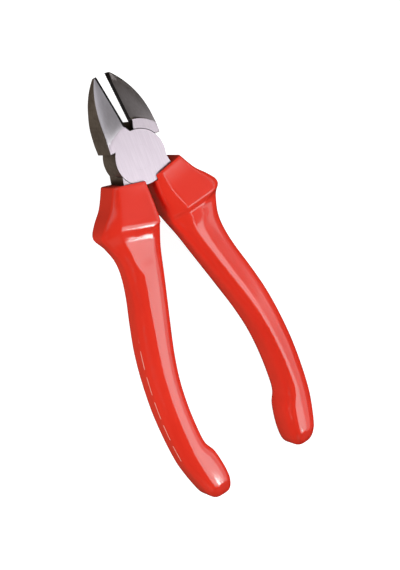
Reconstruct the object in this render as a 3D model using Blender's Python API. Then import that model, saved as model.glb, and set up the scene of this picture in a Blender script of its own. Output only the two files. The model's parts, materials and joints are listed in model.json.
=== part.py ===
"""Diagonal cutting pliers: two lapped steel halves on a flush rivet, each handle in a moulded grip.

Drawn lying on the back of the grips, jaws towards +Y, rivet axis along Z, in the slightly open stance.
Lengths below are in millimetres about the rivet centre; MM turns them into metres.
"""
import math

import bmesh
import bpy
from mathutils import Vector

for old in list(bpy.data.objects):
    bpy.data.objects.remove(old, do_unlink=True)

MM = 0.001

# Lap joint: two discs of equal radius, one over the other, ground flat together.
JOINT_HALF = 5.35
DISC_R = 9.9
LAP_GAP = 0.12
DISC_CLEAR = 0.25

# Flush rivet with a countersunk head on each side.
RIVET_R = 3.4
HEAD_R = 4.4
HEAD_DEPTH = 1.6
RIVET_CLEAR = 0.12

# Jaws. The outer side is straight beside the joint, then one arc; the front slopes back towards the tip.
HEAD_HALF = 10.45
JAW_ARC_R = 27.8
JAW_ARC_X = HEAD_HALF - JAW_ARC_R
JAW_ARC_Y = 12.3
SHOULDER_Y = 5.2
FLAT_R = 13.5
TIP_R = 31.15
EDGE_X_BASE = 0.9
EDGE_X_TIP = 1.73
EDGE_R_BASE = 12.5
EDGE_Z_BASE = 4.6
EDGE_Z_TIP = -0.8
BEVEL_X = 0.75
BEVEL_TIP = 1.35
BEVEL_Z = 0.7
HOLLOW = 0.45
RIM_TIP_FRONT = 0.3
RIM_MID_R = 22.0
RIM_MID_REAR = -2.6
RIM_TIP_REAR = -1.4
FLANK = 0.3
JAW_ROOT = 0.85

# Steel handle: a neck of full joint thickness, then a slimmer tang inside the grip.
TANG_FIT = 0.3
NECK_HALF = JOINT_HALF
NECK_TAPER = 0.25
NECK_IN = 3.1
NECK_OUT = 10.1
NECK_FLARE = 0.9
NECK_ROOT_OUT = (9.0, -1.6)
NECK_ROOT_IN = (1.6, -5.0)
TANG_PLACE = 0.47
TANG_THICK_TOP = 3.6
TANG_THICK_END = 2.6
TANG_WIDE = 0.22

# Grip: cross-sections from the mouth to the closed end, each given by the inner and the outer point
# of the outline and the half thickness there.
GRIP_REST = 7.8
GRIP_STATIONS = (
    (1.8, -8.3, 14.3, -5.4, 6.8),
    (1.8, -15.2, 18.2, -12.0, 7.1),
    (2.0, -20.0, 22.2, -16.3, 7.4),
    (2.4, -24.0, 25.0, -20.6, GRIP_REST),
    (3.3, -28.4, 23.0, -25.8, 7.0),
    (4.8, -32.9, 21.4, -31.0, 7.1),
    (6.7, -38.8, 21.3, -36.8, 7.6),
    (9.6, -47.8, 22.7, -44.6, GRIP_REST),
    (13.1, -59.0, 25.7, -55.2, GRIP_REST),
    (16.1, -69.2, 28.2, -65.6, GRIP_REST),
    (18.3, -79.8, 29.8, -76.5, GRIP_REST),
    (19.2, -90.5, 30.7, -88.8, GRIP_REST),
    (19.1, -100.0, 30.5, -100.0, 7.6),
    (18.5, -106.0, 29.9, -107.3, 7.5),
    (16.4, -110.4, 29.2, -111.8, 7.4),
    (15.3, -116.0, 27.8, -117.2, 7.3),
    (14.9, -121.0, 26.3, -122.0, 7.0),
    (15.2, -124.8, 25.0, -125.2, 6.3),
    (16.2, -127.2, 23.4, -127.3, 4.9),
    (17.8, -128.2, 21.8, -128.2, 3.1),
)
SIDE_FLAT = 2.2
PANEL_SHARE = 0.56
CORNER_STEPS = 4

# The root stands under the middle of the outline, on the plane the grips lie on.
OUTLINE_MID_Y = (math.sqrt(TIP_R ** 2 - EDGE_X_TIP ** 2) + GRIP_STATIONS[-1][1]) / 2
ROOT_LIFT = GRIP_REST


def lerp(a, b, t):
    return a + (b - a) * t


def mesh_object(name, rows, cap_start=True, cap_end=True):
    """Close a list of equal rings of points into one solid."""
    bm = bmesh.new()
    rings = [[bm.verts.new(Vector(p) * MM) for p in row] for row in rows]
    count = len(rings[0])
    for ring, after in zip(rings, rings[1:]):
        for i in range(count):
            j = (i + 1) % count
            bm.faces.new((ring[i], ring[j], after[j], after[i]))
    if cap_start:
        bm.faces.new(rings[0])
    if cap_end:
        bm.faces.new(rings[-1])
    bmesh.ops.triangulate(bm, faces=bm.faces)
    bmesh.ops.recalc_face_normals(bm, faces=bm.faces)
    mesh = bpy.data.meshes.new(name)
    bm.to_mesh(mesh)
    bm.free()
    obj = bpy.data.objects.new(name, mesh)
    bpy.context.collection.objects.link(obj)
    return obj


def lathe(name, profile, steps=48):
    """Turn (radius, height) pairs about the rivet axis."""
    rows = []
    for radius, height in profile:
        row = []
        for i in range(steps):
            angle = 2 * math.pi * i / steps
            row.append((radius * math.cos(angle), radius * math.sin(angle), height))
        rows.append(row)
    return mesh_object(name, rows)


def combine(target, other, operation):
    """Apply an exact Boolean of other to target and drop other."""
    other.hide_render = True
    other.display_type = 'WIRE'
    modifier = target.modifiers.new(operation.lower(), 'BOOLEAN')
    modifier.operation = operation
    modifier.solver = 'EXACT'
    modifier.object = other
    graph = bpy.context.evaluated_depsgraph_get()
    result = bpy.data.meshes.new_from_object(target.evaluated_get(graph))
    target.modifiers.clear()
    target.data = result
    bpy.data.objects.remove(other, do_unlink=True)


def clean(obj):
    """Merge doubled points left by the Booleans and drop needless ones on flat faces."""
    bm = bmesh.new()
    bm.from_mesh(obj.data)
    bmesh.ops.remove_doubles(bm, verts=bm.verts, dist=0.00001)
    bmesh.ops.dissolve_degenerate(bm, dist=0.000005, edges=bm.edges)
    bmesh.ops.dissolve_limit(bm, angle_limit=math.radians(0.2), verts=bm.verts, edges=bm.edges)
    bmesh.ops.triangulate(bm, faces=[f for f in bm.faces if len(f.verts) > 4])
    bmesh.ops.recalc_face_normals(bm, faces=bm.faces)
    bm.to_mesh(obj.data)
    bm.free()


def paint(obj, name, colour, metallic, roughness):
    """Give the node its material and smooth its round faces."""
    material = bpy.data.materials.new(name)
    material.use_nodes = True
    shader = material.node_tree.nodes['Principled BSDF']
    shader.inputs['Base Color'].default_value = (*colour, 1.0)
    shader.inputs['Metallic'].default_value = metallic
    shader.inputs['Roughness'].default_value = roughness
    obj.data.materials.clear()
    obj.data.materials.append(material)
    obj.data.set_sharp_from_angle(angle=math.radians(32))
    for face in obj.data.polygons:
        face.use_smooth = True


def outer_x(radius):
    """Half width of the jaw where a circle about the rivet meets the outer side."""
    shoulder = math.hypot(outer_at(SHOULDER_Y), SHOULDER_Y)
    if radius < shoulder:
        return math.sqrt(radius * radius - SHOULDER_Y * SHOULDER_Y)
    low, high = 0.0, math.pi / 2
    for _ in range(40):
        angle = (low + high) / 2
        x, y = radius * math.sin(angle), radius * math.cos(angle)
        if x > outer_at(y):
            high = angle
        else:
            low = angle
    return radius * math.sin(low)


def outer_at(y):
    """Half width of the jaw: straight up to the foot of the arc, then along it."""
    above = max(0.0, y - JAW_ARC_Y)
    return JAW_ARC_X + math.sqrt(JAW_ARC_R ** 2 - above ** 2)


def jaw_row(radius, side):
    """One cross-section of a jaw on a circle about the rivet, from outer rear round to the rear again."""
    along = (radius - EDGE_R_BASE) / (TIP_R - EDGE_R_BASE)
    beyond = max(0.0, (radius - FLAT_R) / (TIP_R - FLAT_R))
    out = outer_x(radius)
    edge = lerp(EDGE_X_BASE, EDGE_X_TIP, along)
    edge_z = min(EDGE_Z_BASE, lerp(EDGE_Z_BASE, EDGE_Z_TIP, along))
    rim = lerp(JOINT_HALF, RIM_TIP_FRONT, beyond)
    if radius <= FLAT_R:
        rear = -JOINT_HALF
    elif radius <= RIM_MID_R:
        rear = lerp(-JOINT_HALF, RIM_MID_REAR, (radius - FLAT_R) / (RIM_MID_R - FLAT_R))
    else:
        rear = lerp(RIM_MID_REAR, RIM_TIP_REAR, (radius - RIM_MID_R) / (TIP_R - RIM_MID_R))
    bevel = edge + BEVEL_X * lerp(1.0, BEVEL_TIP, beyond)
    bevel_z = JOINT_HALF if radius <= FLAT_R else edge_z + BEVEL_Z
    dip = HOLLOW * min(1.0, beyond * 6)
    back = min(edge + FLANK * (edge_z - rear), out - 0.6)
    points = [(out, rear), (out, rim)]
    for share in (0.33, 0.67):
        points.append((lerp(out, bevel, share), lerp(rim, bevel_z, share) - dip))
    points += [(bevel, bevel_z), (edge, edge_z), (back, rear), (lerp(back, out, 0.5), rear)]
    row = []
    for x, z in points:
        row.append((side * x, math.sqrt(radius * radius - x * x), z))
    return row


def jaw(name, side):
    """A jaw from inside the joint disc to the blunt tip."""
    shoulder = math.hypot(outer_at(SHOULDER_Y), SHOULDER_Y)
    foot = [DISC_R * JAW_ROOT, DISC_R, shoulder, (shoulder + FLAT_R) / 2, FLAT_R]
    blade = [lerp(FLAT_R, RIM_MID_R, share) for share in (0.12, 0.3, 0.52, 0.76, 1.0)]
    blade += [lerp(RIM_MID_R, TIP_R, share) for share in (0.25, 0.5, 0.75, 0.9, 1.0)]
    return mesh_object(name, [jaw_row(radius, side) for radius in foot + blade])


def smooth_stations():
    """Grip stations with one curved step put between each pair."""
    rows = []
    last = len(GRIP_STATIONS) - 1
    for i in range(last):
        before = GRIP_STATIONS[max(i - 1, 0)]
        start, stop = GRIP_STATIONS[i], GRIP_STATIONS[i + 1]
        after = GRIP_STATIONS[min(i + 2, last)]
        rows.append(start)
        middle = [(9 * (b + c) - a - d) / 16 for a, b, c, d in zip(before, start, stop, after)]
        middle[4] = min(GRIP_REST, middle[4])
        if start[4] == stop[4]:
            middle[4] = start[4]
        rows.append(tuple(middle))
    rows.append(GRIP_STATIONS[-1])
    return rows


def grip_body(name, side):
    """The grip as a solid: rounded sections with a flat panel front and back and a domed end."""
    rows = []
    for xi, yi, xo, yo, half in smooth_stations():
        reach = math.hypot(xo - xi, yo - yi) / 2
        flat = reach * PANEL_SHARE
        corner = min(half - 0.5, half - SIDE_FLAT * half / GRIP_REST)
        row = []
        for quarter, (su, sz) in enumerate(((1, 1), (-1, 1), (-1, -1), (1, -1))):
            for k in range(CORNER_STEPS + 1):
                turn = k / CORNER_STEPS * math.pi / 2
                if quarter % 2:
                    turn = math.pi / 2 - turn
                u = su * (flat + (reach - flat) * math.cos(turn))
                z = sz * (half - corner + corner * math.sin(turn))
                share = 0.5 + u / reach / 2
                row.append((side * lerp(xi, xo, share), lerp(yi, yo, share), z))
        rows.append(row)
    return mesh_object(name, rows)


def tang(name, side, fit):
    """The steel inside the grip, or with a fit the bore that takes it."""
    rows = []
    picked = GRIP_STATIONS[:3] + GRIP_STATIONS[4:13]
    for index, (xi, yi, xo, yo, _) in enumerate(picked):
        share = index / (len(picked) - 1)
        if index < 2:
            half = NECK_HALF - NECK_TAPER * index
            low, high = NECK_IN, NECK_OUT + NECK_FLARE * index
        else:
            half = lerp(TANG_THICK_TOP, TANG_THICK_END, share)
            middle = lerp(xi, xo, TANG_PLACE)
            wide = (xo - xi) * TANG_WIDE
            low, high = middle - wide, middle + wide
        drop = -fit if index == len(picked) - 1 else 0.0
        row = []
        for x, z in ((high, -half), (high, half), (low, half), (low, -half)):
            x += fit if x == high else -fit
            z += fit if z > 0 else -fit
            y = lerp(yi, yo, (x - xi) / (xo - xi)) + drop
            row.append((side * x, y, z))
        rows.append(row)
    corners = (NECK_ROOT_OUT, NECK_ROOT_OUT, NECK_ROOT_IN, NECK_ROOT_IN)
    lead = [(side * x, y, below[2]) for (x, y), below in zip(corners, rows[0])]
    return mesh_object(name, [lead] + rows)


def forged_half(name, jaw_side, upper):
    """One forging: jaw, joint disc on one level and the tang of the opposite handle."""
    level = (LAP_GAP / 2, JOINT_HALF) if upper else (-JOINT_HALF, -LAP_GAP / 2)
    half = jaw(name, jaw_side)
    combine(half, tang(name + '_tang', -jaw_side, 0.0), 'UNION')
    room = DISC_R + DISC_CLEAR
    cut = (-JOINT_HALF - 1, LAP_GAP / 2) if upper else (-LAP_GAP / 2, JOINT_HALF + 1)
    combine(half, lathe(name + '_room', [(room, cut[0]), (room, cut[1])], 72), 'DIFFERENCE')
    combine(half, lathe(name + '_disc', [(DISC_R, level[0]), (DISC_R, level[1])], 72), 'UNION')
    combine(half, rivet_solid(name + '_hole', RIVET_CLEAR, 1.0), 'DIFFERENCE')
    clean(half)
    return half


def rivet_solid(name, fit, extra):
    """The rivet, or with a fit the hole that takes it."""
    top = JOINT_HALF + extra
    slope = (HEAD_R - RIVET_R) / HEAD_DEPTH
    wide = HEAD_R + fit + slope * extra
    shank = RIVET_R + fit
    neck = JOINT_HALF - HEAD_DEPTH
    return lathe(name, [(wide, -top), (shank, -neck), (shank, neck), (wide, top)])


def grip(name, side):
    """A grip with its tang bore and the pocket that clears the joint discs."""
    body = grip_body(name, side)
    combine(body, tang(name + '_bore', side, TANG_FIT), 'DIFFERENCE')
    pocket = DISC_R + 2 * DISC_CLEAR
    level = JOINT_HALF + TANG_FIT
    combine(body, lathe(name + '_pocket', [(pocket, -level), (pocket, level)], 72), 'DIFFERENCE')
    clean(body)
    return body


front_half = forged_half('front_half', -1, True)
rear_half = forged_half('rear_half', 1, False)
pivot_rivet = rivet_solid('pivot_rivet', 0.0, 0.0)
right_grip = grip('right_grip', 1)
left_grip = grip('left_grip', -1)

paint(front_half, 'tool_steel_front', (0.62, 0.60, 0.63), 1.0, 0.35)
paint(rear_half, 'tool_steel_rear', (0.58, 0.56, 0.59), 1.0, 0.35)
paint(pivot_rivet, 'rivet_steel', (0.65, 0.63, 0.66), 1.0, 0.3)
paint(right_grip, 'grip_plastic_right', (0.72, 0.05, 0.03), 0.0, 0.3)
paint(left_grip, 'grip_plastic_left', (0.72, 0.05, 0.03), 0.0, 0.3)

# Everything turns about or sits on the rivet axis, so each node's origin lies on it.
root = bpy.data.objects.new('pliers', None)
bpy.context.collection.objects.link(root)
hinge = bpy.data.objects.new('rear_hinge', None)
hinge.location = Vector((0.0, -OUTLINE_MID_Y, ROOT_LIFT)) * MM
hinge.parent = root
bpy.context.collection.objects.link(hinge)
for node in (front_half, pivot_rivet, right_grip):
    node.location = hinge.location
    node.parent = root
for node in (rear_half, left_grip):
    node.parent = hinge
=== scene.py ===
import json
import math

import bmesh
import bpy
import numpy as np
from mathutils import Matrix, Vector


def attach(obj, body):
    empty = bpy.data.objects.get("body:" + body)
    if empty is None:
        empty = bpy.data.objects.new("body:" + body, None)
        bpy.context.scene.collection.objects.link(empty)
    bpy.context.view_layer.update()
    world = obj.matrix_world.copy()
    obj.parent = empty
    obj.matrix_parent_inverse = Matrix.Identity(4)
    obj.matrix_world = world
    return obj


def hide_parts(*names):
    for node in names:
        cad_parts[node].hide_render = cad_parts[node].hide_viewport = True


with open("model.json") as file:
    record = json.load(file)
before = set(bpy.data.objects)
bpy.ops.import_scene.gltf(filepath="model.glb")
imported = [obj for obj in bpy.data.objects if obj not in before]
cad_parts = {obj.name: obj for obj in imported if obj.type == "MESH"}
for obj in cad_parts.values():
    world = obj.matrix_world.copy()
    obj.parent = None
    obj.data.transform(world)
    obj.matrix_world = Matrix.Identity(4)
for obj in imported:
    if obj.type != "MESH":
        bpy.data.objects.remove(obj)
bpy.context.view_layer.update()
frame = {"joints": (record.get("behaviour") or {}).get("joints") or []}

# FRONT HALF
# A drop-forged tool-steel half: left jaw, upper joint disc and the tang of the right handle in one,
# riveted over the rear half. Its flats are ground bright and its jaw is hollow ground; the forged
# sides keep their dark skin.

MM = 0.001
PIVOT = Vector(frame["joints"][0]["pos_m"])

# Lengths are in millimetres about the rivet, heights from mid thickness. Where a value has two entries,
# -1 is the left jaw and 1 the right one.
JOINT_HALF = 5.35
DISC_R = 9.9
LAP_GAP = 0.12
DISC_CLEAR = 0.25

# The outer side of a jaw stands straight over the shoulder, then follows an arc to the tip; between them
# it leans in towards the face.
HEAD_HALF = 10.45
JAW_ARC_R = 27.8
JAW_ARC_X = HEAD_HALF - JAW_ARC_R
JAW_ARC_Y = 12.3
SHOULDER_Y = 5.2
TIP_R = 31.15
LEAN = {-1: 4.4, 1: 0.0}
LEAN_FADE = 1.5

# The face is flat out to FLAT_R, then falls to the tip and is ground hollow towards the cutting edge.
FLAT_R = {-1: 11.8, 1: 13.5}
RUN_OUT = {-1: 2.0, 1: 1.0}
ONSET = {-1: 1.5, 1: 24.0}
FACE_SLOPE = {-1: 0.14, 1: 0.25}
HOLLOW = 0.36
HOLLOW_ONSET = 3
HOLLOW_WIDTH = 5
RIM_TIP = 0.3
EASE = 0.12

# The cutting edge runs from base to tip, each given by its distance from the middle plane, its radius
# and its height. It has a honed bevel and closes in at the throat, whose foot is filled by a web on the
# right jaw.
EDGE_BASE = (0.9, 12.5, 4.6)
EDGE_TIP = (1.73, TIP_R, -0.8)
BEVEL_X = 1.2
BEVEL_Z = 0.15
FLANK = 0.47
THROAT = (10.2, 12.7)
THROAT_EDGE = {-1: 0.1, 1: 1.15}
THROAT_BEVEL = 0.15
THROAT_WEB = 12.45

# The back of a jaw thins in two straight runs.
REAR_MID_R = 22.0
REAR_MID = -2.6
REAR_TIP = -1.4
BACK_RIM = 0.6


class Wire:
    """A shader socket that takes part in arithmetic; make() adds any other node to the same tree."""

    def __init__(self, tree, socket=None):
        self.tree = tree
        self.socket = socket

    def make(self, kind, settings=None, out=0, **links):
        """Add a node and its settings, then its inputs, by name or by number as i0, i1; out is kept."""
        node = self.tree.nodes.new(kind)
        for key, value in (settings or {}).items():
            setattr(node, key, value)
        for key, value in links.items():
            numbered = key[0] == 'i' and key[1:].isdigit()
            entry = node.inputs[int(key[1:]) if numbered else key.replace('_', ' ')]
            if isinstance(value, Wire):
                self.tree.links.new(value.socket, entry)
            else:
                entry.default_value = value
        return Wire(self.tree, node.outputs[out])

    def math(self, operation, first, second):
        return self.make('ShaderNodeMath', {'operation': operation}, i0=first, i1=second)

    def __add__(self, other):
        return self.math('ADD', self, other)

    def __radd__(self, other):
        return self.math('ADD', other, self)

    def __sub__(self, other):
        return self.math('SUBTRACT', self, other)

    def __rsub__(self, other):
        return self.math('SUBTRACT', other, self)

    def __mul__(self, other):
        return self.math('MULTIPLY', self, other)

    def __rmul__(self, other):
        return self.math('MULTIPLY', other, self)

    def blend(self, low, high):
        """Mix two colours by this value; each is a triple or a Wire."""
        low, high = (colour if isinstance(colour, Wire) else (*colour, 1.0) for colour in (low, high))
        return self.make('ShaderNodeMix', {'data_type': 'RGBA'}, 2, Factor=self, i6=low, i7=high)

    def ramp(self, start, stop, low=0.0, high=1.0):
        """Ease from low to high while this value goes from start to stop."""
        return self.make('ShaderNodeMapRange', {'interpolation_type': 'SMOOTHSTEP'}, 0, Value=self,
                         From_Min=start, From_Max=stop, To_Min=low, To_Max=high)


def new_material(name):
    """A material with its Principled shader and a Wire into its tree."""
    material = bpy.data.materials.new(name)
    material.use_nodes = True
    shader = material.node_tree.nodes['Principled BSDF']
    return material, shader, Wire(material.node_tree)


def plug(wire, shader, name):
    """Lead a Wire into one of the shader's inputs."""
    wire.tree.links.new(wire.socket, shader.inputs[name])


NOISE_BAND = (0.3, 0.7)
BUMP_DEPTH = 0.0001
GRAIN_TURN = 0.1


def grain(wire, scale, stretch):
    """Fine lines along the tool: noise drawn out by stretch along Y."""
    coords = wire.make('ShaderNodeTexCoord', None, 3)
    lines = wire.make('ShaderNodeMapping', None, 0, Vector=coords, Scale=(scale, scale / stretch, scale),
                      Rotation=(0.0, 0.0, GRAIN_TURN))
    return wire.make('ShaderNodeTexNoise', None, 0, Vector=lines, Scale=1.0, Detail=4.0, Roughness=0.6)


def steel(name, dark, light, rough, scale, stretch, bump):
    """Bare steel with a directional grinding grain."""
    material, shader, wire = new_material(name)
    shader.inputs['Metallic'].default_value = 1.0
    lines = grain(wire, scale, stretch)
    plug(lines.ramp(*NOISE_BAND).blend(dark, light), shader, 'Base Color')
    plug(lines.ramp(0.25, 0.75, rough - 0.02, rough + 0.03), shader, 'Roughness')
    relief = wire.make('ShaderNodeBump', None, 0, Strength=bump, Distance=BUMP_DEPTH, Height=lines)
    plug(relief, shader, 'Normal')
    return material


# Painted shade darkens the forged skin along this run, in metres from the rivet, and on to the grip.
MOUTH_SHADE = (0.052, 0.044, 0.038)
MOUTH_SHADE_RUN = (-0.0058, -0.0040)
SKIN_METAL = 0.75
PITS_SHARE = 0.6


def forged(name, dark, light, rough):
    """Forged side with a dark oxide skin: fine scale pits, no grain, painted shade towards the grip."""
    material, shader, wire = new_material(name)
    shader.inputs['Metallic'].default_value = SKIN_METAL
    coords = wire.make('ShaderNodeTexCoord', None, 3)
    pits = wire.make('ShaderNodeTexNoise', None, 0, Vector=coords, Scale=900.0, Detail=5.0,
                     Roughness=0.65)
    broad = wire.make('ShaderNodeTexNoise', None, 0, Vector=coords, Scale=120.0, Detail=2.0)
    skin = (pits * PITS_SHARE + broad * (1 - PITS_SHARE)).ramp(0.35, 0.65).blend(dark, light)
    along = wire.make('ShaderNodeSeparateXYZ', None, 1, Vector=coords)
    # Painted shade: the skin turns to the dark colour towards the grip's mouth.
    plug(along.ramp(*MOUTH_SHADE_RUN).blend(MOUTH_SHADE, skin), shader, 'Base Color')
    plug(pits.ramp(*NOISE_BAND, rough - 0.06, rough + 0.08), shader, 'Roughness')
    relief = wire.make('ShaderNodeBump', None, 0, Strength=0.12, Distance=BUMP_DEPTH, Height=pits)
    plug(relief, shader, 'Normal')
    return material


FLAT_GRIND = {'rough': 0.40, 'scale': 2200.0, 'stretch': 22.0, 'bump': 0.04}
HOLLOW_GRIND = {'rough': 0.30, 'scale': 2600.0, 'stretch': 16.0, 'bump': 0.003}
HONING = {'rough': 0.30, 'scale': 1200.0, 'stretch': 6.0, 'bump': 0.03}
ground = steel('ground_steel', (0.37, 0.33, 0.37), (0.43, 0.385, 0.43), **FLAT_GRIND)
hollow = steel('hollow_ground_steel', (0.52, 0.505, 0.54), (0.57, 0.555, 0.59), **HOLLOW_GRIND)
# The honed bevel and the throat's flank are painted near black: painted shade, as they face away from
# the light.
honed_in_shade = steel('honed_edge_steel_painted_shade', (0.045, 0.042, 0.042), (0.065, 0.060, 0.060), **HONING)
oxide = forged('dark_oxide_steel', (0.185, 0.167, 0.146), (0.315, 0.286, 0.251), 0.42)


def lerp(a, b, t):
    return a + (b - a) * t


def solid(name, rows):
    """Close a list of equal rings of points, in millimetres about the rivet, into one mesh object."""
    bm = bmesh.new()
    rings = [[bm.verts.new(Vector(p) * MM) for p in row] for row in rows]
    count = len(rings[0])
    for ring, after in zip(rings, rings[1:]):
        for i in range(count):
            j = (i + 1) % count
            bm.faces.new((ring[i], ring[j], after[j], after[i]))
    bm.faces.new(rings[0])
    bm.faces.new(rings[-1])
    bmesh.ops.triangulate(bm, faces=[f for f in bm.faces if len(f.verts) > 4])
    bmesh.ops.recalc_face_normals(bm, faces=bm.faces)
    mesh = bpy.data.meshes.new(name)
    bm.to_mesh(mesh)
    bm.free()
    obj = bpy.data.objects.new(name, mesh)
    bpy.context.collection.objects.link(obj)
    obj.location = PIVOT
    return obj


def turned(name, profile, steps=128):
    """Turn (radius, height) pairs about the rivet axis."""
    turns = [2 * math.pi * i / steps for i in range(steps)]
    return solid(name, [[(r * math.cos(a), r * math.sin(a), z) for a in turns] for r, z in profile])


def settle(obj):
    """Replace the mesh by what its modifiers give."""
    bpy.context.view_layer.update()
    graph = bpy.context.evaluated_depsgraph_get()
    mesh = bpy.data.meshes.new_from_object(obj.evaluated_get(graph))
    obj.modifiers.clear()
    obj.data = mesh


def combine(target, other, operation):
    """Join the other object to the target or cut it away, and drop it."""
    modifier = target.modifiers.new(operation, 'BOOLEAN')
    modifier.operation = operation
    modifier.solver = 'EXACT'
    modifier.object = other
    settle(target)
    bpy.data.objects.remove(other, do_unlink=True)


def outer_at(y):
    """Half width of the jaw: straight up to the foot of the arc, then along it."""
    above = max(0.0, y - JAW_ARC_Y)
    return JAW_ARC_X + math.sqrt(JAW_ARC_R ** 2 - above ** 2)


SHOULDER_R = math.hypot(outer_at(SHOULDER_Y), SHOULDER_Y)
HALVINGS = 40


def outer_x(radius):
    """Half width of the jaw where a circle about the rivet meets the outer side."""
    if radius < SHOULDER_R:
        return math.sqrt(radius ** 2 - SHOULDER_Y ** 2)
    low, high = 0.0, math.pi / 2
    for _ in range(HALVINGS):
        angle = (low + high) / 2
        x, y = radius * math.sin(angle), radius * math.cos(angle)
        if x > outer_at(y):
            high = angle
        else:
            low = angle
    return radius * math.sin(low)


def edge_x(radius, side):
    """Distance of the cutting edge from the middle plane and width of its bevel, less at the throat."""
    edge = lerp(EDGE_BASE[0], EDGE_TIP[0], (radius - EDGE_BASE[1]) / (EDGE_TIP[1] - EDGE_BASE[1]))
    share = min(1.0, max(0.0, (radius - THROAT[0]) / (THROAT[1] - THROAT[0])))
    return lerp(THROAT_EDGE[side], edge, share), lerp(THROAT_BEVEL, BEVEL_X, share)


FACE_STEPS = 9
BACK_STEPS = 4


def jaw_row(radius, side):
    """A section of the jaw on a circle about the rivet: outer side, face, honed edge, flank, back."""
    along = (radius - EDGE_BASE[1]) / (EDGE_TIP[1] - EDGE_BASE[1])
    flat_r = FLAT_R[side]
    beyond = max(0.0, (radius - flat_r) / (TIP_R - flat_r))
    out = outer_x(radius)
    edge, bevel_x = edge_x(radius, side)
    slack = 0.0 if side > 0 and radius <= THROAT_WEB else FLANK
    edge_z = min(EDGE_BASE[2], lerp(EDGE_BASE[2], EDGE_TIP[2], along))
    rim = lerp(JOINT_HALF, RIM_TIP, beyond ** RUN_OUT[side])
    if radius <= FLAT_R[1]:
        rear = -JOINT_HALF
    elif radius <= REAR_MID_R:
        rear = lerp(-JOINT_HALF, REAR_MID, (radius - FLAT_R[1]) / (REAR_MID_R - FLAT_R[1]))
    else:
        rear = lerp(REAR_MID, REAR_TIP, (radius - REAR_MID_R) / (TIP_R - REAR_MID_R))
    bevel = edge + bevel_x
    sunk = max(edge_z + BEVEL_Z, rim - FACE_SLOPE[side] * (out - bevel))
    bevel_z = lerp(rim, min(rim, sunk), min(1.0, beyond * ONSET[side]))
    dip = HOLLOW * min(1.0, beyond * HOLLOW_ONSET) * min(1.0, (out - bevel) / HOLLOW_WIDTH)
    back = min(edge + slack * (edge_z - rear), out - BACK_RIM)
    top = out - LEAN[side] * beyond * (1 - beyond) ** LEAN_FADE
    points = [(out - EASE, rear), (out, rear + EASE), (top, rim - EASE), (top - EASE, rim)]
    for k in range(1, FACE_STEPS):
        share = 1 - k / FACE_STEPS
        sag = dip * share * (1 - share ** 3)
        points.append((lerp(bevel, top - EASE, share), lerp(bevel_z, rim, share) - sag))
    points += [(bevel, bevel_z), (edge, edge_z), (back, rear)]
    points += [(lerp(back, out - EASE, k / BACK_STEPS), rear) for k in range(1, BACK_STEPS)]
    return [(side * x, math.sqrt(radius ** 2 - x * x), z) for x, z in points]


JAW_ROOT = 8.4
WEB_STEP = 0.1
FLAT_STEP = 0.35
FLAT_ROWS = 6
JAW_ROWS = 12


def jaw(name, side):
    """A jaw from its root inside the disc to its tip, with more rows where flat or throat ends."""
    radii = [JAW_ROOT, DISC_R, SHOULDER_R]
    if side > 0:
        radii += [THROAT_WEB, THROAT_WEB + WEB_STEP, THROAT[1], FLAT_R[1] + FLAT_STEP]
    else:
        radii += [lerp(SHOULDER_R, FLAT_R[1], k / FLAT_ROWS) for k in range(1, FLAT_ROWS)]
    radii += [lerp(FLAT_R[1], REAR_MID_R, k / JAW_ROWS) for k in range(JAW_ROWS + 1)]
    radii += [lerp(REAR_MID_R, TIP_R, k / JAW_ROWS) for k in range(1, JAW_ROWS + 1)]
    return solid(name, [jaw_row(radius, side) for radius in sorted(radii)])


# Inner and outer points of the handle's outline, as x, y, x, y, at stations from the mouth of the grip
# to its closed end.
HANDLE = (
    (1.8, -8.3, 14.3, -5.4), (1.8, -15.2, 18.2, -12.0), (2.0, -20.0, 22.2, -16.3),
    (2.4, -24.0, 25.0, -20.6), (3.3, -28.4, 23.0, -25.8), (4.8, -32.9, 21.4, -31.0),
    (6.7, -38.8, 21.3, -36.8), (9.6, -47.8, 22.7, -44.6), (13.1, -59.0, 25.7, -55.2),
    (16.1, -69.2, 28.2, -65.6), (18.3, -79.8, 29.8, -76.5), (19.2, -90.5, 30.7, -88.8),
    (19.1, -100.0, 30.5, -100.0), (18.5, -106.0, 29.9, -107.3), (16.4, -110.4, 29.2, -111.8),
    (15.3, -116.0, 27.8, -117.2), (14.9, -121.0, 26.3, -122.0), (15.2, -124.8, 25.0, -125.2),
    (16.2, -127.2, 23.4, -127.3), (17.8, -128.2, 21.8, -128.2))

# The neck starts from its root inside the disc, on the outer (1) and the inner side (-1), and leaves the
# joint at nearly full thickness; the tang inside the grip is a slim bar.
NECK_ROOT = {1: (9.0, -1.6), -1: (1.6, -5.0)}
NECK_IN = 3.1
NECK_OUT = 10.1
NECK_FLARE = 0.9
NECK_TAPER = 0.25
NECK_ROWS = 2
TANG_STATIONS = HANDLE[:3] + HANDLE[4:13]
TANG_HALF = (3.6, 2.6)
TANG_MIDDLE = 0.47
TANG_WIDTH = 0.22
CORNERS = ((1, -1), (1, 1), (-1, 1), (-1, -1))


def tang(name, side, fit):
    """Neck of full joint thickness running into a slim tang; with a fit, the bore that takes it."""
    rows = []
    last = len(TANG_STATIONS) - 1
    for index, (xi, yi, xo, yo) in enumerate(TANG_STATIONS):
        if index < NECK_ROWS:
            half = JOINT_HALF - NECK_TAPER * index
            low, high = NECK_IN, NECK_OUT + NECK_FLARE * index
        else:
            half = lerp(*TANG_HALF, index / last)
            middle = lerp(xi, xo, TANG_MIDDLE)
            low, high = middle - (xo - xi) * TANG_WIDTH, middle + (xo - xi) * TANG_WIDTH
        drop = -fit if index == last else 0.0
        row = []
        for su, sz in CORNERS:
            x = high + fit if su > 0 else low - fit
            row.append((side * x, lerp(yi, yo, (x - xi) / (xo - xi)) + drop, sz * (half + fit)))
        rows.append(row)
    root = []
    for (su, _), below in zip(CORNERS, rows[0]):
        x, y = NECK_ROOT[su]
        root.append((side * x, y, below[2]))
    return solid(name, [root] + rows)


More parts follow.
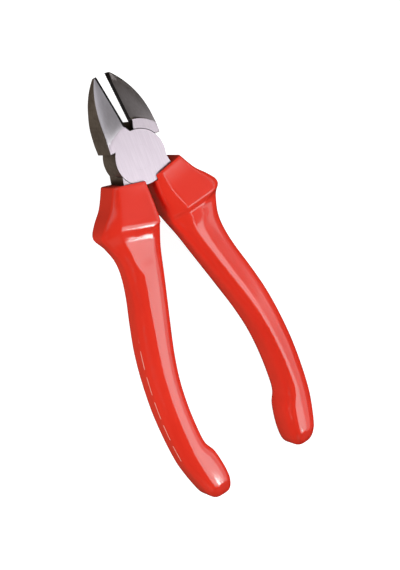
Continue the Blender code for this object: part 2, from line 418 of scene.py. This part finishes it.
FORGED, GROUND, HOLLOW_GROUND, HONED_IN_SHADE = range(4)
LEVEL_FACING = 0.99
LEVEL_SLACK = 0.03
FLANK_FACING = -0.4
FACE_FACING = 0.6


def face_steel(face, jaw_side):
    """Which finish a face of a half carries, from where it lies and which way it looks."""
    centre, normal = face.center / MM, face.normal
    if abs(normal.z) > LEVEL_FACING and abs(centre.z) > JOINT_HALF - LEVEL_SLACK:
        return GROUND
    radius = math.hypot(centre.x, centre.y)
    if centre.y > 0 and radius > DISC_R:
        honed_to = sum(edge_x(radius, jaw_side))
        # Bevel and flank faces take the near-black steel that stands for painted shade.
        if normal.x * jaw_side < FLANK_FACING or (abs(centre.x) < honed_to and normal.z > 0):
            return HONED_IN_SHADE
        if normal.z > FACE_FACING:
            return HOLLOW_GROUND
    return FORGED


def crease_flats(mesh):
    """Keep a crisp edge where a ground flat meets another finish."""
    finishes = {}
    for face in mesh.polygons:
        for key in face.edge_keys:
            finishes.setdefault(key, set()).add(face.material_index)
    sharp = mesh.attributes['sharp_edge'].data
    for edge in mesh.edges:
        if GROUND in finishes[edge.key] and len(finishes[edge.key]) > 1:
            sharp[edge.index].value = True


RIVET_R = 3.4
HEAD_R = 4.4
HEAD_DEPTH = 1.6
RIVET_STEPS = 96


def rivet_body(name, fit, extra):
    """The rivet with its two countersunk heads; with a fit, the hole that takes it."""
    top = JOINT_HALF + extra
    wide = HEAD_R + fit + (HEAD_R - RIVET_R) / HEAD_DEPTH * extra
    shank = RIVET_R + fit
    neck = JOINT_HALF - HEAD_DEPTH
    return turned(name, [(wide, -top), (shank, -neck), (shank, neck), (wide, top)], RIVET_STEPS)


RIVET_FIT = 0.015
CUT_PAST = 1.0
MERGE_M = 0.00001
SAME_PLANE = math.radians(0.2)
STEEL_CORNER = math.radians(30)


def forged_half(name, jaw_side, upper, flat, jaw_face):
    """Jaw, joint disc on one level and the tang of the opposite handle, cut clear of the other half."""
    half = jaw(name, jaw_side)
    combine(half, tang(name + '_tang', -jaw_side, 0.0), 'UNION')
    room = DISC_R + DISC_CLEAR
    level = (LAP_GAP / 2, JOINT_HALF) if upper else (-JOINT_HALF, -LAP_GAP / 2)
    cut = (-JOINT_HALF - CUT_PAST, LAP_GAP / 2) if upper else (-LAP_GAP / 2, JOINT_HALF + CUT_PAST)
    combine(half, turned(name + '_room', [(room, cut[0]), (room, cut[1])]), 'DIFFERENCE')
    combine(half, turned(name + '_disc', [(DISC_R, level[0]), (DISC_R, level[1])]), 'UNION')
    combine(half, rivet_body(name + '_hole', RIVET_FIT, CUT_PAST), 'DIFFERENCE')
    bm = bmesh.new()
    bm.from_mesh(half.data)
    bmesh.ops.remove_doubles(bm, verts=bm.verts, dist=MERGE_M)
    bmesh.ops.dissolve_limit(bm, angle_limit=SAME_PLANE, verts=bm.verts, edges=bm.edges)
    bm.to_mesh(half.data)
    bm.free()
    half.data.materials.clear()
    for material in (oxide, flat, jaw_face, honed_in_shade):
        half.data.materials.append(material)
    half.data.set_sharp_from_angle(angle=STEEL_CORNER)
    for face in half.data.polygons:
        face.material_index = face_steel(face, jaw_side)
        face.use_smooth = face.material_index != GROUND
    if jaw_side > 0:
        crease_flats(half.data)
    return half


front_half = forged_half('front_half_steel', -1, True, ground, hollow)
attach(front_half, 'front')
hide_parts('front_half')

# REAR HALF
# The other forging, of the same tool steel: right jaw, lower joint disc and the tang of the left handle.
# It laps under the front half, and its shoulder stands round the front disc, ground level with it.
# The jaw's face is a darker, browner grey than the front jaw's, as painted shade.

rear_ground = steel('rear_ground_steel', (0.33, 0.295, 0.33), (0.385, 0.345, 0.38), **FLAT_GRIND)
# Painted shade: the rear jaw's face is given a darker grey than the front jaw's face.
rear_hollow_in_shade = steel('rear_hollow_steel_painted_shade', (0.29, 0.268, 0.268), (0.33, 0.306, 0.306), **HOLLOW_GRIND)
rear_half = forged_half('rear_half_steel', 1, False, rear_ground, rear_hollow_in_shade)
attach(rear_half, 'rear')
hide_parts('rear_half')

# PIVOT RIVET
# A steel rivet through both discs, headed into a countersink on each side and ground flush,
# so that its seam hardly shows in the ground face.

pivot_rivet = rivet_body('pivot_rivet_steel', 0.0, 0.0)
pivot_rivet.data.materials.append(ground)
for face in pivot_rivet.data.polygons:
    face.use_smooth = abs(face.normal.z) < LEVEL_FACING
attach(pivot_rivet, 'front')
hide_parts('pivot_rivet')

# RIGHT GRIP
# A thick glossy red plastic moulding pushed over the tang: flat collar panel up to a cross ridge,
# a guard bulge on the outer side, a shallow dish below the ridge, then a soft-edged handle with
# a finger stop and a domed end.

GRIP_REST = 7.8
TANG_FIT = 0.3


def spline(knots, at):
    """Smooth curve through (place, value) knots with flat ends, no overshoot between equal values."""
    places = np.array([k[0] for k in knots], float)
    values = np.array([k[1] for k in knots], float)
    steps = np.diff(values) / np.diff(places)
    slopes = np.zeros(len(values))
    for i in range(1, len(values) - 1):
        if steps[i - 1] * steps[i] > 0:
            slopes[i] = 2 * steps[i - 1] * steps[i] / (steps[i - 1] + steps[i])
    i = int(np.clip(np.searchsorted(places, at) - 1, 0, len(places) - 2))
    width = places[i + 1] - places[i]
    t = np.clip((at - places[i]) / width, 0.0, 1.0)
    h = ((1 + 2 * t) * (1 - t) ** 2, t * (1 - t) ** 2, t * t * (3 - 2 * t), t * t * (t - 1))
    from_here = h[0] * values[i] + h[1] * width * slopes[i]
    return from_here + h[2] * values[i + 1] + h[3] * width * slopes[i + 1]


# Places along the handle count the stations of HANDLE from the mouth, 19 being the closed end. The two
# faces of a grip differ as the same moulding turned over: one has its chamfer outside (-1), the other
# inside (1). LOWER and SIDE, for the lower half and the edge, differ by front (1) and back (-1) instead.

# How far the rows lean along the handle from the outer side to the inner one, near the ridge.
SKEW = {-1: 0.36, 1: -0.05}
SKEW_FADE = 2
SKEW_END = 6

# Half thickness down the middle: collar, ridge and dish, then handle, finger stop and end.
THICK = {
    -1: ((0, 6.6), (2.36, 7.76), (2.53, GRIP_REST), (2.70, 7.72), (3.34, 6.84), (3.50, 6.64),
         (3.84, 6.31), (3.98, 6.26), (4.15, 6.26), (5.0, 6.40), (6.0, 6.72), (7.0, 7.13)),
    1: ((0, 6.6), (2.98, 7.76), (3.10, GRIP_REST), (3.20, 7.72), (3.60, 6.72), (3.66, 6.70),
        (3.72, 6.72), (4.0, 6.85), (4.8, 7.18), (5.4, 7.24), (6.0, 7.28), (7.0, 7.40))}
HANDLE_THICK = ((8.0, 7.56), (9.0, GRIP_REST), (11.0, GRIP_REST), (12.0, 7.6))
LOWER = {
    1: HANDLE_THICK + (
        (15.0, 7.3), (16.0, 7.12), (16.3, 7.02), (16.42, 6.90), (16.55, 6.70), (17.4, 5.5), (18.2, 4.2),
        (19.0, 2.9)),
    -1: HANDLE_THICK + ((15.0, 7.5), (17.0, 7.3), (18.0, 6.7), (18.6, 5.8), (19.0, 4.4))}

# How far a face's panel reaches to the outer and the inner side, as a share of half the width, and how
# tightly the corner beside it turns.
PANEL_OUT = {
    -1: ((0, 0.74), (1.5, 0.60), (2.53, 0.46), (3.6, 0.46), (4.4, 0.50), (5.3, 0.56), (5.7, 0.48),
         (6.2, 0.27), (7.0, 0.30), (9.0, 0.36), (19.0, 0.30)),
    1: ((0, 0.84), (2.0, 0.80), (3.10, 0.66), (3.5, 0.36), (4.0, 0.12), (5.2, 0.20), (7.0, 0.30),
        (9.0, 0.36), (19.0, 0.30))}
PANEL_IN = {
    -1: ((0, 0.84), (2.53, 0.88), (2.9, 0.72), (3.7, 0.60), (5.2, 0.42), (7.0, 0.35), (9.0, 0.42),
         (19.0, 0.30)),
    1: ((0, 0.50), (3.10, 0.44), (3.9, 0.34), (5.2, 0.42), (7.0, 0.45), (9.0, 0.42), (19.0, 0.30))}
CREASE = ((0, 1.25), (3.0, 1.2), (5.0, 1.3), (8.0, 1.7), (19.0, 2.0))

# How far the section has turned from a panel with corners into an oval, how square that oval is,
# and where across the grip it stands highest.
ROUND = {
    -1: ((0, 0.0), (4.8, 0.0), (5.6, 0.15), (6.4, 0.60), (7.0, 0.85), (8.5, 1.0), (19.0, 1.0)),
    1: ((0, 0.0), (3.4, 0.0), (4.4, 0.60), (5.4, 1.0), (19.0, 1.0))}
OVAL = {
    -1: ((0, 2.5), (12.0, 2.5), (16.0, 3.4), (19.0, 3.4)),
    1: ((0, 2.1), (12.0, 2.1), (16.0, 2.8), (19.0, 2.8))}
CROWN = {-1: ((0, -0.16), (19.0, -0.16)), 1: ((0, -0.38), (10.5, -0.42), (12.2, -0.26), (19.0, -0.16))}

# The share of the half thickness that is left at the edge, and the widest point of the handle.
UPPER_SIDE = ((0, 0.66), (2.0, 0.58), (3.0, 0.45), (4.0, 0.33), (6.0, 0.26), (12.0, 0.22))
SIDE = {
    1: UPPER_SIDE + ((19.0, 0.22),),
    -1: UPPER_SIDE + ((16.0, 0.28), (17.5, 0.48), (18.3, 0.60), (19.0, 0.62))}
GRIP_OUT = max(station[2] for station in HANDLE)


def outline(at):
    """Inner and outer outline points at a place along the handle."""
    i = min(int(at), len(HANDLE) - 2)
    t = at - i
    a, b = HANDLE[max(i - 1, 0)], HANDLE[i]
    c, d = HANDLE[i + 1], HANDLE[min(i + 2, len(HANDLE) - 1)]
    out = []
    for p, q, r, s in zip(a, b, c, d):
        out.append(0.5 * (2 * q + (r - p) * t + (2 * p - 5 * q + 4 * r - s) * t * t
                          + (3 * q - p - 3 * r + s) * t ** 3))
    return out[0], out[1], min(out[2], GRIP_OUT), out[3]


def grip_point(at, u, level, side):
    """A point of the grip: u from -1 (inner) to 1 (outer), level +1 on the front and -1 on the back."""
    turn = side * level
    lean = SKEW[turn] * min(1.0, at / SKEW_FADE) * max(0.0, min(1.0, (SKEW_END - at) / SKEW_FADE))
    xi, yi, xo, yo = outline(at - u * lean)
    half = spline(THICK[turn] + LOWER[level], at)
    panel = spline((PANEL_OUT if u > 0 else PANEL_IN)[turn], at)
    share = min(1.0, max(0.0, (abs(u) - panel) / (1 - panel)))
    low = spline(SIDE[level], at)
    fall = low + (1 - low) * (1 - share ** spline(CREASE, at)) ** 0.5
    crown = spline(CROWN[turn], at)
    bow = abs(u - crown) / (1 - crown if u > crown else 1 + crown)
    power = spline(OVAL[turn], at)
    oval = low + (1 - low) * max(0.0, 1 - bow ** power) ** (1 / power)
    z = level * half * lerp(fall, oval, spline(ROUND[turn], at))
    v = 0.5 + u / 2
    return (side * lerp(xi, xo, v), lerp(yi, yo, v), z)


# Places round a corner, from the panel's edge to the outline.
CORNER = (0.03, 0.08, 0.15, 0.25, 0.36, 0.48, 0.60, 0.71, 0.81, 0.89, 0.95, 0.985, 1.0)
PANEL_STEPS = 12


def across(at, turn):
    """Places across the grip that follow both edges of a panel."""
    low, high = -spline(PANEL_IN[turn], at), spline(PANEL_OUT[turn], at)
    inner = [lerp(low, -1.0, share) for share in reversed(CORNER)]
    outer = [lerp(high, 1.0, share) for share in CORNER]
    return inner + [lerp(low, high, k / PANEL_STEPS) for k in range(PANEL_STEPS + 1)] + outer


def grip_places():
    """Places of the grip's rows, closest together at the mouth, over the ridge and at the end."""
    fine = [0.0, 0.03, 0.08] + [0.2 + 0.2 * k for k in range(11)]
    fine += [2.3 + 0.05 * k for k in range(35)] + [4.1 + 0.2 * k for k in range(70)]
    fine += [16.2, 16.25, 16.35, 16.4, 16.45, 16.55, 16.6, 18.15, 18.3, 18.5, 18.7, 18.85, 19.0]
    return sorted(fine)


# The dashed painted highlight is given in metres about the rivet: its height, half width, pitch, run,
# ends and wander.
DASH_GLINT_Z = 0.0029
DASH_GLINT_HALF = 0.00016
DASH_GLINT_PITCH = 0.0096
DASH_GLINT_RUN = (-0.111, -0.058)
DASH_GLINT_ENDS = (0.003, 0.008)
DASH_GLINT_WANDER = 0.004
DASH_GLINT_DUTY = (-0.7, -0.5)
DASH_GLINT_FACING = (0.45, 0.7)
DASH_GLINT_STRENGTH = 0.9
DASH_GLINT_COLOUR = (1.0, 0.50, 0.43)
DEEP_RED = (0.79, 0.033, 0.017)
LIGHT_RED = (0.83, 0.038, 0.020)
GLOSS_TINT = (0.35, 1.0, 1.0, 1.0)
GLOSS = (0.09, 0.13)


def plastic(name, side):
    """Glossy red with slight changes of gloss, a faint orange peel and a dashed painted highlight
    outside.
    """
    material, shader, wire = new_material(name)
    coords = wire.make('ShaderNodeTexCoord', None, 3)
    broad = wire.make('ShaderNodeTexNoise', None, 0, Vector=coords, Scale=40.0, Detail=3.0)
    fine = wire.make('ShaderNodeTexNoise', None, 0, Vector=coords, Scale=700.0, Detail=2.0)
    along = wire.make('ShaderNodeSeparateXYZ', None, 1, Vector=coords)
    height = wire.make('ShaderNodeSeparateXYZ', None, 2, Vector=coords)
    normal = wire.make('ShaderNodeNewGeometry', None, 1)
    facing = wire.make('ShaderNodeSeparateXYZ', None, 0, Vector=normal)
    # Painted highlight: light dashes along the outer rounding, where the surface faces outwards.
    away = wire.math('ABSOLUTE', height + side * DASH_GLINT_Z, 0.0)
    line = away.ramp(DASH_GLINT_HALF, 2 * DASH_GLINT_HALF, 1.0, 0.0) * (facing * side).ramp(*DASH_GLINT_FACING)
    wave = wire.math('SINE', (along + broad * DASH_GLINT_WANDER) * (2 * math.pi / DASH_GLINT_PITCH), 0.0)
    start, stop = DASH_GLINT_RUN
    run = along.ramp(start, start + DASH_GLINT_ENDS[0]) * along.ramp(stop, stop - DASH_GLINT_ENDS[1])
    painted_dashes = line * wave.ramp(*DASH_GLINT_DUTY) * run
    red = broad.ramp(*NOISE_BAND).blend(DEEP_RED, LIGHT_RED)
    plug((painted_dashes * DASH_GLINT_STRENGTH).blend(red, DASH_GLINT_COLOUR), shader, 'Base Color')
    shader.inputs['Specular Tint'].default_value = GLOSS_TINT
    plug(broad.ramp(*NOISE_BAND, *GLOSS), shader, 'Roughness')
    relief = wire.make('ShaderNodeBump', None, 0, Strength=0.03, Distance=BUMP_DEPTH, Height=fine)
    plug(relief, shader, 'Normal')
    return material


# How much the first rows draw in, by their place, so that the mouth's rim is rounded.
MOUTH_ROUND = {0.0: 0.965, 0.03: 0.985}
PLASTIC_CORNER = math.radians(40)


def grip(name, side):
    """A whole grip, with the bore for its tang and the pocket round the joint disc cut out."""
    rows = []
    for at in grip_places():
        shrink = MOUTH_ROUND.get(at, 1.0)
        front = [grip_point(at, u, 1, side) for u in across(at, side)]
        back = [grip_point(at, u, -1, side) for u in reversed(across(at, -side))]
        ring = front + back
        centre = [sum(p[k] for p in ring) / len(ring) for k in range(3)]
        rows.append([tuple(lerp(centre[k], p[k], shrink) for k in range(3)) for p in ring])
    body = solid(name, rows)
    combine(body, tang(name + '_bore', side, TANG_FIT), 'DIFFERENCE')
    level = JOINT_HALF + TANG_FIT
    pocket = DISC_R + 2 * DISC_CLEAR
    combine(body, turned(name + '_pocket', [(pocket, -level), (pocket, level)]), 'DIFFERENCE')
    body.data.materials.clear()
    body.data.materials.append(plastic(name, side))
    for face in body.data.polygons:
        face.use_smooth = True
    body.data.set_sharp_from_angle(angle=PLASTIC_CORNER)
    return body


right_grip = grip('right_grip_plastic', 1)
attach(right_grip, 'front')
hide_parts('right_grip')

# LEFT GRIP
# The same red plastic moulding, turned over so that the face with its chamfer outside lies in front,
# and pushed over the tang of the left handle.

left_grip = grip('left_grip_plastic', -1)
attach(left_grip, 'rear')
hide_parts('left_grip')

# FLOOR AND BACKDROP
# A white table under the tool, and a white drum of paper round it that closes every other view in white.
# Both glow by themselves and are seen only by the camera, so that they don't tint the tool.

TABLE_SIZE = 6.0
TABLE_DROP = 0.0004
TABLE_GREY = (0.35, 0.35, 0.35, 1.0)
TABLE_GLOW = 0.97
DRUM_R = 2900.0
DRUM_FOOT = -40.0
DRUM_TOP = 4000.0
DRUM_STEPS = 64


def glowing(name, base, glow):
    """A white that glows by itself over a base colour."""
    material, shader, _ = new_material(name)
    shader.inputs['Base Color'].default_value = base
    shader.inputs['Emission Color'].default_value = (1.0, 1.0, 1.0, 1.0)
    shader.inputs['Emission Strength'].default_value = glow
    return material, shader


bpy.ops.mesh.primitive_plane_add(size=TABLE_SIZE, location=(0.0, 0.0, -TABLE_DROP))
floor = bpy.context.object
floor.name = 'floor'
material, shader = glowing('floor_white', TABLE_GREY, TABLE_GLOW)
shader.inputs['Roughness'].default_value = 0.9
shader.inputs['Specular IOR Level'].default_value = 0.1
floor.data.materials.append(material)
floor.visible_diffuse = False
floor.visible_glossy = False

drum = turned('backdrop', [(DRUM_R, DRUM_FOOT), (DRUM_R, DRUM_TOP)], DRUM_STEPS)
material, shader = glowing('backdrop_white', (0.0, 0.0, 0.0, 1.0), 1.0)
drum.data.materials.append(material)
drum.visible_diffuse = False
drum.visible_glossy = False
drum.visible_shadow = False

# LIGHT
# A room with a bright wall on the right, a lit wall beyond the jaws and two lit corners on the left,
# dim elsewhere and warmer to the left and below. Level softboxes, above the handles and to their right,
# show only in the gloss, and two lamps fill the shade.

WARM = (0.90, 0.64, 0.42)
WHITE = (1.0, 0.98, 1.0)
FAR_WALL = 0.7
LEFT_CORNERS = 0.45

world = bpy.data.worlds.new('studio')
bpy.context.scene.world = world
world.use_nodes = True
room_light = world.node_tree.nodes['Background']
wire = Wire(world.node_tree)
direction = wire.make('ShaderNodeTexCoord', None, 0)
sideways = wire.make('ShaderNodeSeparateXYZ', None, 0, Vector=direction)
forward = wire.make('ShaderNodeSeparateXYZ', None, 1, Vector=direction)
upward = wire.make('ShaderNodeSeparateXYZ', None, 2, Vector=direction).ramp(-0.10, 0.25)
right_side = sideways.ramp(0.28, 0.62) * forward.ramp(-0.30, -0.05)
right_wall = right_side * forward.ramp(0.05, 0.45, 0.68, 0.46)
dim = sideways.ramp(-0.3, 0.4, 0.06, 0.18)
far_wall = forward.ramp(0.40, 0.60) * sideways.ramp(0.10, -0.15) * FAR_WALL
both_ends = forward.ramp(-0.56, -0.74) + forward.ramp(0.28, 0.50)
left_corners = sideways.ramp(-0.05, -0.35) * both_ends * LEFT_CORNERS
below = sideways.ramp(-0.5, 0.3, 0.16, 0.03)
cool = (sideways.ramp(-0.4, 0.55) + far_wall + left_corners) * upward
plug(cool.blend(WARM, WHITE), room_light, 'Color')
above = right_wall + dim + far_wall + left_corners
plug(above * upward + (1.0 - upward) * below, room_light, 'Strength')


def softbox(name, place, aim, size, power, fill):
    """A box light that fills the shade, or else shows only in the gloss."""
    light = bpy.data.lights.new(name, 'AREA')
    light.shape = 'RECTANGLE'
    light.size, light.size_y = size
    light.energy = power
    lamp = bpy.data.objects.new(name, light)
    bpy.context.collection.objects.link(lamp)
    lamp.location = place
    lamp.rotation_euler = (Vector(aim) - Vector(place)).to_track_quat('-Z', 'Y').to_euler()
    lamp.visible_glossy = not fill
    lamp.visible_diffuse = fill


# Sides and heights are in metres about the rivet, powers in watts.
ABOVE = 0.90


def overhead(name, left, right, near, far, power, lower=0.0):
    """A level softbox at the common height, or lower, given by its sides about the rivet."""
    middle = PIVOT + Vector(((left + right) / 2, (near + far) / 2, ABOVE - lower))
    softbox(name, middle, middle - Vector((0.0, 0.0, ABOVE)), (right - left, far - near), power, False)


overhead('softbox', 0.05, 0.58, -0.75, -0.17, 4.8)
overhead('side_wash', 0.58, 2.40, -0.95, -0.33, 6.0)
overhead('spark', 0.30, 0.345, -0.82, -0.60, 1.15, 0.02)
overhead('edge_strip', 0.03, 0.17, -0.17, -0.04, 0.29)
softbox('left_fill', PIVOT + Vector((-0.40, -0.10, 0.19)), PIVOT, (0.2, 0.2), 1.30, True)
softbox('right_fill', PIVOT + Vector((0.75, -0.10, 0.65)), PIVOT, (0.5, 0.5), 6.9, True)

# CAMERA
# Above the tool, a little to its left and towards the jaws, rolled so that the tool leans left.
# Its angles and place were fitted to the outline of the tool and its round joint disc.

YAW = math.radians(24.4)
PITCH = math.radians(16.0)
ROLL = math.radians(21.98)
DISTANCE = 0.500
SHIFT_X = -0.02325
SHIFT_Y = 0.04538
FOCAL_PX = 1410.8
HEIGHT_PX = 570.0
SENSOR_MM = 36.0

turn = Matrix.Rotation(ROLL, 3, 'Z') @ Matrix.Rotation(PITCH, 3, 'X') @ Matrix.Rotation(YAW, 3, 'Y')
camera = bpy.data.objects.new('camera', bpy.data.cameras.new('camera'))
bpy.context.collection.objects.link(camera)
placed = turn.transposed().to_4x4()
placed.translation = PIVOT + turn.transposed() @ Vector((-SHIFT_X, -SHIFT_Y, DISTANCE))
camera.matrix_world = placed
camera.data.sensor_fit = 'VERTICAL'
camera.data.sensor_height = SENSOR_MM
camera.data.lens = FOCAL_PX * SENSOR_MM / HEIGHT_PX
bpy.context.scene.camera = camera
bpy.context.scene.view_settings.view_transform = 'Standard'
